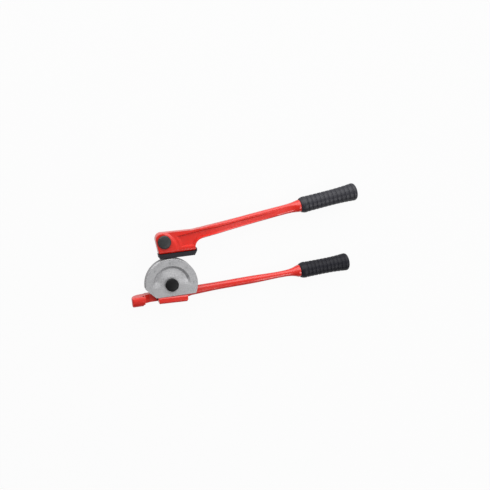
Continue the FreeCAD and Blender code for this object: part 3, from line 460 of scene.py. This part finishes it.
SCREW_SIDES = 48
SHANK_SHARE = 2.0 / 3.9
SHANK_TIP = 0.75
SHANK_CHAMFER = 0.0005
NECK_DROP = 0.0002
HEAD_LAND = 0.0001
HEAD_CHAMFER = 0.0003
SOCKET_HALF = 0.00125
SOCKET_MOUTH = 0.0014
SOCKET_CHAMFER = 0.00015
SOCKET_DEPTH = 0.0016
SOCKET_TIP = 0.0004
SHARP_EDGE = math.radians(25)
low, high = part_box("shoe_screws")
head_radius = (high.z - low.z) / 2
shank_radius = head_radius * SHANK_SHARE
neck_level = low.y + head_radius - shank_radius + NECK_DROP
profile = (
    (0.0, high.y, False),
    (shank_radius * SHANK_TIP, high.y, False),
    (shank_radius, high.y - SHANK_CHAMFER, False),
    (shank_radius, neck_level, False),
    (head_radius - HEAD_LAND, low.y + HEAD_LAND, False),
    (head_radius - HEAD_CHAMFER, low.y, False),
    (SOCKET_MOUTH, low.y, True),
    (SOCKET_HALF, low.y + SOCKET_CHAMFER, True),
    (SOCKET_HALF, low.y + SOCKET_DEPTH, True),
    (0.0, low.y + SOCKET_DEPTH + SOCKET_TIP, False),
)
screws = bmesh.new()
for centre_x in (low.x + head_radius, high.x - head_radius):
    rings = []
    for radius, level, six_sided in profile:
        if radius == 0.0:
            rings.append([screws.verts.new((centre_x, level, groove_level))] * SCREW_SIDES)
            continue
        points = []
        for side in range(SCREW_SIDES):
            angle = math.tau * side / SCREW_SIDES
            from_flat = angle % (math.pi / 3) - math.pi / 6
            x, z = on_ring(radius / math.cos(from_flat) if six_sided else radius, angle)
            points.append(screws.verts.new((centre_x + x, level, groove_level + z)))
        rings.append(points)
    for first, second in zip(rings, rings[1:]):
        for side in range(SCREW_SIDES):
            after = (side + 1) % SCREW_SIDES
            corners = (first[side], first[after], second[after], second[side])
            screws.faces.new(tuple(dict.fromkeys(corners)))
bmesh.ops.recalc_face_normals(screws, faces=screws.faces)
mesh = settle("socket_screws", screws)
screw_steel = blackened_steel("blackened_screws", BLACKENED, BLACKENED_WORN, pin_axis,
                              least=0.34, most=0.5, reach=0.6)
mesh.materials.append(screw_steel)
mesh.shade_smooth()
mesh.set_sharp_from_angle(angle=SHARP_EDGE)
socket_screws = stand("socket_screws", mesh)
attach(socket_screws, "lever")
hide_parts("shoe_screws")

# Lever pin, washers and retaining ring
# A headed pin, blackened and a shade paler than the centre bolt, on which the lever turns. A
# washer and an open spring ring hold it behind the link.
PIN_BLACK = (0.045, 0.047, 0.048, 1)
PIN_WORN = (0.11, 0.11, 0.11, 1)
SPRING_GREY = (0.22, 0.22, 0.23, 1)
SPRING_DARK = (0.12, 0.12, 0.12, 1)
RING_INNER = 0.00722
RING_WIDE = 0.0033
RING_NARROW = 0.0019
RING_MOUTH = math.radians(64)
RING_STEPS = 96
LUG_RADIUS = 0.0019
LUG_RING = 0.0093
LUG_HOLE = 0.0009
LUG_STEPS = 16
LUG_INWARD = math.radians(95)
LUG_OUTWARD = math.radians(110)
HOLE_STEPS = 24

pin_steel = blackened_steel("blackened_pin", PIN_BLACK, PIN_WORN, pin_axis,
                            least=0.40, most=0.55, reach=0.5)
dress("lever_pin", pin_steel)
pin_plate = bright_steel("pin_plate", pin_axis, ZINC, ZINC_DULL, least=0.28, most=0.48)
for node in ("lever_washer", "pin_washer"):
    dress(node, pin_plate)


def arc(radius, start, end, steps, centre=(0.0, 0.0)):
    """Points on an arc, whose radius is a number or a function of the share of the arc."""
    points = []
    for step in range(steps + 1):
        share = step / steps
        x, y = on_ring(radius(share) if callable(radius) else radius, start + (end - start) * share)
        points.append((centre[0] + x, centre[1] + y))
    return points


def ring_back(share):
    """The outer radius of the ring, which is widest across from its mouth."""
    return RING_INNER + RING_NARROW + (RING_WIDE - RING_NARROW) * math.sin(math.pi * share) ** 2


low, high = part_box("retaining_ring")
strap_angle = math.atan2(pin_axis[1], pin_axis[0])
lug_half = math.asin(LUG_RADIUS / LUG_RING)
open_from = strap_angle + RING_MOUTH / 2
open_to = strap_angle + math.tau - RING_MOUTH / 2
first_lug, last_lug = open_from + lug_half, open_to - lug_half
lug_centres = [on_ring(LUG_RING, angle) for angle in (first_lug, last_lug)]
outline = arc(RING_INNER, open_from, open_to, RING_STEPS)
outline += arc(LUG_RADIUS, last_lug + LUG_INWARD, last_lug - LUG_OUTWARD, LUG_STEPS,
               lug_centres[1])
outline += arc(ring_back, last_lug - lug_half, first_lug + lug_half, RING_STEPS)
outline += arc(LUG_RADIUS, first_lug + LUG_OUTWARD, first_lug - LUG_INWARD, LUG_STEPS,
               lug_centres[0])
holes = [arc(LUG_HOLE, 0.0, math.tau, HOLE_STEPS, centre)[:-1] for centre in lug_centres]
flat_ring = bpy.data.curves.new("spring_ring", "CURVE")
flat_ring.dimensions = "2D"
flat_ring.fill_mode = "BOTH"
flat_ring.extrude = (high.z - low.z) / 2
for loop in (outline, *holes):
    spline = flat_ring.splines.new("POLY")
    spline.points.add(len(loop) - 1)
    spline.use_cyclic_u = True
    for point, (x, y) in zip(spline.points, loop):
        point.co = (x, y, 0, 1)
mesh = outline_mesh("spring_ring_curve", flat_ring)
mesh.transform(Matrix.Translation((pin_axis[0], pin_axis[1], (low.z + high.z) / 2)))
mesh.materials.clear()
spring_steel = bright_steel("spring_steel", pin_axis, SPRING_GREY, SPRING_DARK, least=0.3, most=0.45)
mesh.materials.append(spring_steel)
spring_ring = stand("spring_ring", mesh)
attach(spring_ring, "link")
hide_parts("retaining_ring")

# Grips
# Black rubber sleeves moulded with ribs across, pushed on to the two tangs. The skin is matt,
# with the fine grain of its mould, and paler where hands have rubbed the ribs.
RUBBER = (0.012, 0.012, 0.019, 1)
RUBBER_SHADED = (0.003, 0.003, 0.008, 1)
RUBBER_RUBBED = (0.034, 0.034, 0.048, 1)
SEAM_HALF = 0.0001
SEAM_FADE = 0.0005
SEAM_RISE = 1.6
RUBBER_DEPTH = 0.00012

low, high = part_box("upper_grip")
seam_level = (low.z + high.z) / 2


def rubber(name, black, shine, reach, least, most):
    """Moulded rubber, paler on its ribs by the reach that hands have rubbed them."""
    material, tree, shader = finish(name, Specular_IOR_Level=shine, Sheen_Weight=0.05,
                                    Sheen_Roughness=0.5)
    worn = use(tree, edge_wear, Width=0.0010, Patches=110.0, Reach=reach)
    dust = ramp(tree, noise(tree, place(tree), 70.0, 5.0, 0.65), 0.45, 0.8, 0.0, reach / 2)
    pale = maths(tree, "MAXIMUM", worn, dust)
    feed(tree, shader["Base Color"], blend(tree, pale, black, RUBBER_RUBBED))
    feed(tree, shader["Roughness"], use(tree, handling, Size=60.0, Least=least, Most=most))
    skin = use(tree, cast_skin, Swell=500.0, Grain=2200.0, Grit=0.6)
    level = add(tree, "SeparateXYZ", {0: place(tree)}).outputs[2]
    from_seam = maths(tree, "ABSOLUTE", maths(tree, "SUBTRACT", level, seam_level))
    seam = ramp(tree, from_seam, SEAM_HALF, SEAM_FADE, SEAM_RISE, 0.0)
    feed(tree, shader["Normal"], relief(tree, maths(tree, "ADD", skin, seam), RUBBER_DEPTH))
    return material


# painted shade: the lower grip gets a darker, duller copy of the rubber, standing in for the shade
# that the upper handle casts on it
shaded_lower_rubber = rubber("shaded_lower_rubber", RUBBER_SHADED, shine=0.32, reach=0.15, least=0.44, most=0.58)
upper_rubber = rubber("upper_rubber", RUBBER, shine=0.55, reach=0.35, least=0.42, most=0.56)
dress("lower_grip", shaded_lower_rubber)
dress("upper_grip", upper_rubber)

# Floor, lamps and camera
# The tool lies on its back on a white table under two large soft lamps. The camera looks down
# on it from the hook's side, in the photograph's view.
WHITE = (1, 1, 1, 1)
TABLE_WHITE = (0.50, 0.50, 0.50, 1)
TABLE_HALF = 6.0
TABLE_SQUARES = 8
TABLE_SEEN = 0.95
TABLE_MIRRORED = 0.4
SKY_LOW = 0.10
SKY_LOW_END = -0.5
SKY_HIGH = 0.75
SKY_HIGH_END = 0.8
LAMP_AIM = Vector((0.15, 0.07, 0.03))
LAMPS = (
    ("lamp_behind", (0.20, 1.45, 0.90), 3.4, 2.0, 39.0),
    ("lamp_above", (1.05, -0.90, 1.60), 1.3, 0.9, 15.0),
)
CAMERA_TARGET = Vector((0.161866, 0.068409, 0.059980))
CAMERA_RIGHT = Vector((0.962398, -0.078672, 0.260000))
CAMERA_UP = Vector((0.123286, 0.979388, -0.160000))
CAMERA_BACK = Vector((-0.242053, 0.186038, 0.952260))
CAMERA_DISTANCE = 1.5
FOCAL_PIXELS = 702.606
IMAGE_PIXELS = 490
SENSOR_WIDTH = 36

white_table, tree, shader = finish("white_table", Roughness=0.9, Specular_IOR_Level=0.2)
feed(tree, shader["Base Color"], TABLE_WHITE)
glow = add(tree, "Emission", {"Color": WHITE, "Strength": 1.0}).outputs[0]
ray = add(tree, "LightPath").outputs
seen = maths(tree, "MULTIPLY", ray["Is Camera Ray"], TABLE_SEEN)
mirrored = maths(tree, "MULTIPLY", ray["Is Glossy Ray"], TABLE_MIRRORED)
lit = tree.nodes["Principled BSDF"].outputs[0]
share = maths(tree, "MAXIMUM", seen, mirrored)
mixed = add(tree, "MixShader", {0: share, 1: lit, 2: glow}).outputs[0]
feed(tree, tree.nodes["Material Output"].inputs["Surface"], mixed)
table = bmesh.new()
bmesh.ops.create_grid(table, x_segments=TABLE_SQUARES, y_segments=TABLE_SQUARES, size=TABLE_HALF)
mesh = settle("white_table", table)
mesh.materials.append(white_table)
stand("white_table", mesh)

world = bpy.data.worlds.new("studio")
bpy.context.scene.world = world
world.use_nodes = True
tree = world.node_tree
tree.nodes.clear()
ray = add(tree, "LightPath").outputs
aside = add(tree, "SeparateXYZ", {0: add(tree, "TexCoord").outputs["Generated"]}).outputs[1]
brightness = ramp(tree, aside, SKY_LOW_END, SKY_HIGH_END, SKY_LOW, SKY_HIGH)
sky = add(tree, "Background", {"Color": WHITE, "Strength": brightness}).outputs[0]
backdrop = add(tree, "Background", {"Color": WHITE, "Strength": 1.0}).outputs[0]
mixed = add(tree, "MixShader", {0: ray["Is Camera Ray"], 1: sky, 2: backdrop}).outputs[0]
add(tree, "OutputWorld", {"Surface": mixed})

for name, spot, width, height, power in LAMPS:
    lamp = bpy.data.lights.new(name, "AREA")
    lamp.shape = "RECTANGLE"
    lamp.size = width
    lamp.size_y = height
    lamp.energy = power
    holder = stand(name, lamp)
    holder.location = spot
    holder.rotation_euler = (LAMP_AIM - holder.location).to_track_quat("-Z", "Y").to_euler()

lens = bpy.data.cameras.new("camera")
lens.sensor_width = SENSOR_WIDTH
lens.lens = FOCAL_PIXELS * SENSOR_WIDTH / IMAGE_PIXELS
lens.clip_start = 0.05
lens.clip_end = 50
camera = stand("camera", lens)
turn = Matrix((CAMERA_RIGHT, CAMERA_UP, CAMERA_BACK)).transposed().to_4x4()
camera.matrix_world = Matrix.Translation(CAMERA_TARGET + CAMERA_BACK * CAMERA_DISTANCE) @ turn
bpy.context.scene.camera = camera
bpy.context.scene.view_settings.view_transform = "Standard"

bpy.context.view_layer.update()
